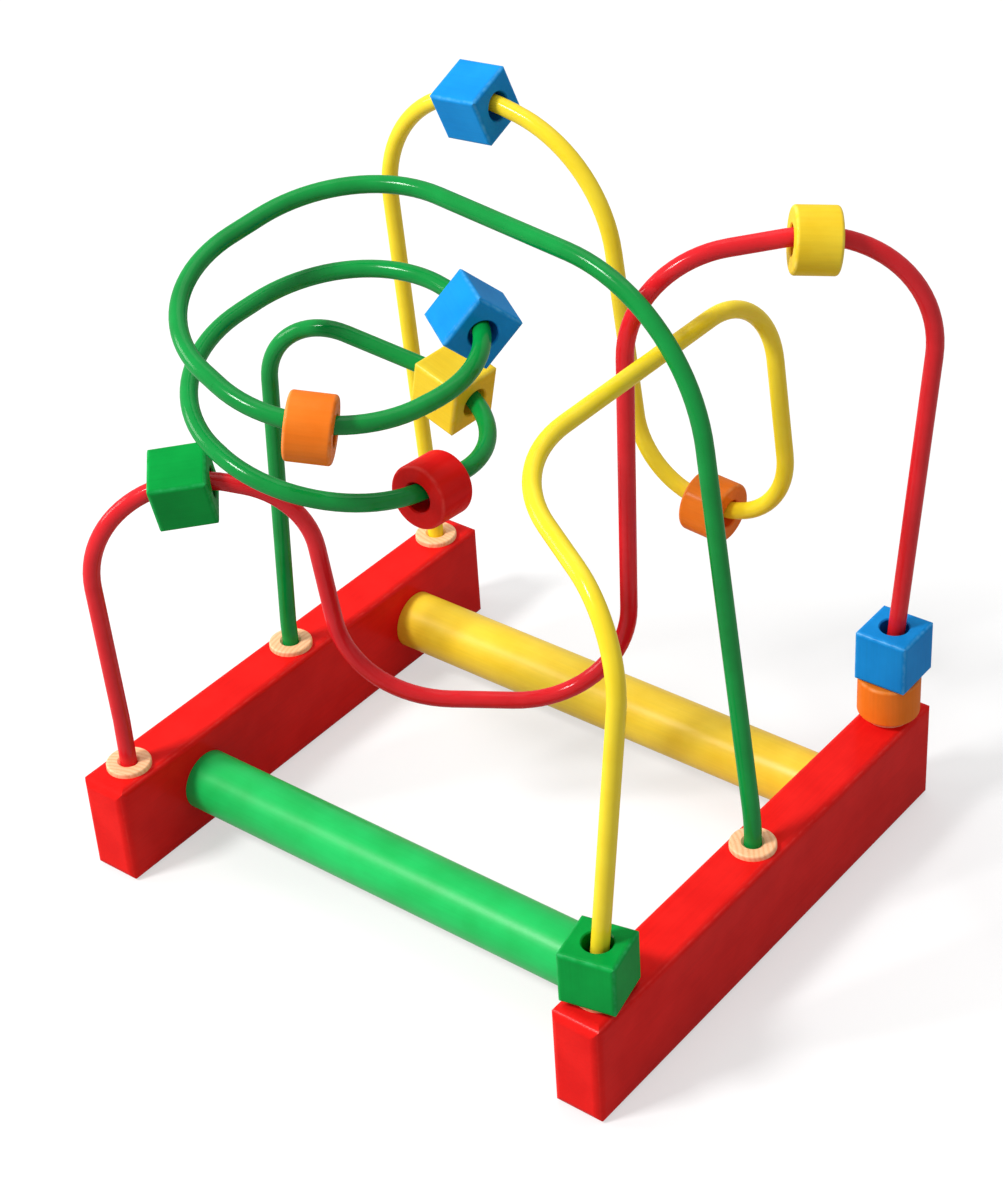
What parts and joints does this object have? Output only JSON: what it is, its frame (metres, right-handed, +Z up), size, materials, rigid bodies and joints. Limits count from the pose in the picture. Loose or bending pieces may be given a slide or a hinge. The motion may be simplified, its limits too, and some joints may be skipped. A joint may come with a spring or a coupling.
{
  "type": "bead maze",
  "caption": "Table-top bead maze: coated wires bent into arches, a loop and a coil stand between painted wooden side beams and carry loose wooden cube and drum beads.",
  "frame": {"origin": "centre of the footprint, on the table", "axes": "+X from the left beam to the right beam, +Y from front to rear, +Z up"},
  "size_m": [0.2266, 0.2, 0.2446],
  "materials": {
    "red_paint": "gloss paint on hardwood",
    "green_paint": "gloss paint on hardwood",
    "yellow_paint": "gloss paint on hardwood",
    "blue_paint": "gloss paint on hardwood",
    "orange_paint": "gloss paint on hardwood",
    "red_plastic": "gloss coating",
    "green_plastic": "gloss coating",
    "yellow_plastic": "gloss coating",
    "plain_wood": "turned, bare",
    "core_steel": "drawn"
  },
  "bodies": {
    "frame": {"left_beam": "red_paint", "right_beam": "red_paint", "front_dowel": "green_paint", "rear_dowel": "yellow_paint", "plug_left_front": "plain_wood", "plug_left_middle": "plain_wood", "plug_left_rear": "plain_wood", "plug_right_front": "plain_wood", "plug_right_middle": "plain_wood", "plug_right_rear": "plain_wood", "red_wire_core": "core_steel", "red_wire_coat": "red_plastic", "green_wire_core": "core_steel", "green_wire_coat": "green_plastic", "yellow_wire_core": "core_steel", "yellow_wire_coat": "yellow_plastic"},
    "green_cube_red_bead": {"green_cube_red_wire": "green_paint"},
    "yellow_drum_red_bead": {"yellow_drum_red_wire": "yellow_paint"},
    "yellow_cube_green_bead": {"yellow_cube_green_wire": "yellow_paint"},
    "red_drum_green_bead": {"red_drum_green_wire": "red_paint"},
    "blue_cube_green_bead": {"blue_cube_green_wire": "blue_paint"},
    "orange_drum_green_bead": {"orange_drum_green_wire": "orange_paint"},
    "blue_cube_yellow_bead": {"blue_cube_yellow_wire": "blue_paint"},
    "orange_drum_yellow_bead": {"orange_drum_yellow_wire": "orange_paint"},
    "orange_drum_red_bead": {"orange_drum_red_wire": "orange_paint"},
    "blue_cube_red_bead": {"blue_cube_red_wire": "blue_paint"},
    "green_cube_yellow_bead": {"green_cube_yellow_wire": "green_paint"}
  },
  "joints": [
    {"name": "green_cube_red_travel", "type": "hinge", "parent": "frame", "child": "green_cube_red_bead", "pos_m": [-0.07387, -0.06192, 0.11651], "axis": [-0.6424, 0.7664, 0], "range_deg": [-81, 20]},
    {"name": "yellow_drum_red_travel", "type": "hinge", "parent": "frame", "child": "yellow_drum_red_bead", "pos_m": [0.07775, 0.06517, 0.18675], "axis": [-0.6424, 0.7664, 0], "range_deg": [-10, 82]},
    {"name": "yellow_cube_green_travel", "type": "hinge", "parent": "frame", "child": "yellow_cube_green_bead", "pos_m": [-0.03099, -0.01416, 0.16886], "axis": [-0.2572, -0.0866, -0.9625], "range_deg": [-18, 60]},
    {"name": "red_drum_green_travel", "type": "hinge", "parent": "frame", "child": "red_drum_green_bead", "pos_m": [-0.042, -0.02822, 0.1721], "axis": [-0.2368, -0.0887, -0.9675], "range_deg": [-1, 92]},
    {"name": "blue_cube_green_travel", "type": "hinge", "parent": "frame", "child": "blue_cube_green_bead", "pos_m": [-0.03602, -0.02496, 0.19992], "axis": [-0.06, 0.0448, -0.9972], "range_deg": [-19, 50]},
    {"name": "orange_drum_green_travel", "type": "hinge", "parent": "frame", "child": "orange_drum_green_bead", "pos_m": [-0.03596, -0.02911, 0.20627], "axis": [-0.204, 0.0747, -0.9761], "range_deg": [-34, 40]},
    {"name": "blue_cube_yellow_travel", "type": "hinge", "parent": "frame", "child": "blue_cube_yellow_bead", "pos_m": [-0.06355, 0.0855, 0.18691], "axis": [0, 1, 0], "range_deg": [-84, 14]},
    {"name": "orange_drum_yellow_travel", "type": "hinge", "parent": "frame", "child": "orange_drum_yellow_bead", "pos_m": [0.03098, 0.08522, 0.12929], "axis": [-0.0014, -0.9999, -0.0099], "range_deg": [-6, 93]},
    {"name": "orange_drum_red_slide", "type": "slide", "parent": "frame", "child": "orange_drum_red_bead", "axis": [0.0633, 0.0531, 0.9966], "range_m": [0, 0.05]},
    {"name": "blue_cube_red_slide", "type": "slide", "parent": "orange_drum_red_bead", "child": "blue_cube_red_bead", "axis": [0.0633, 0.0531, 0.9966], "range_m": [0, 0.05]},
    {"name": "green_cube_yellow_slide", "type": "slide", "parent": "frame", "child": "green_cube_yellow_bead", "axis": [0.0562, 0.0683, 0.9961], "range_m": [0, 0.06]}
  ]
}
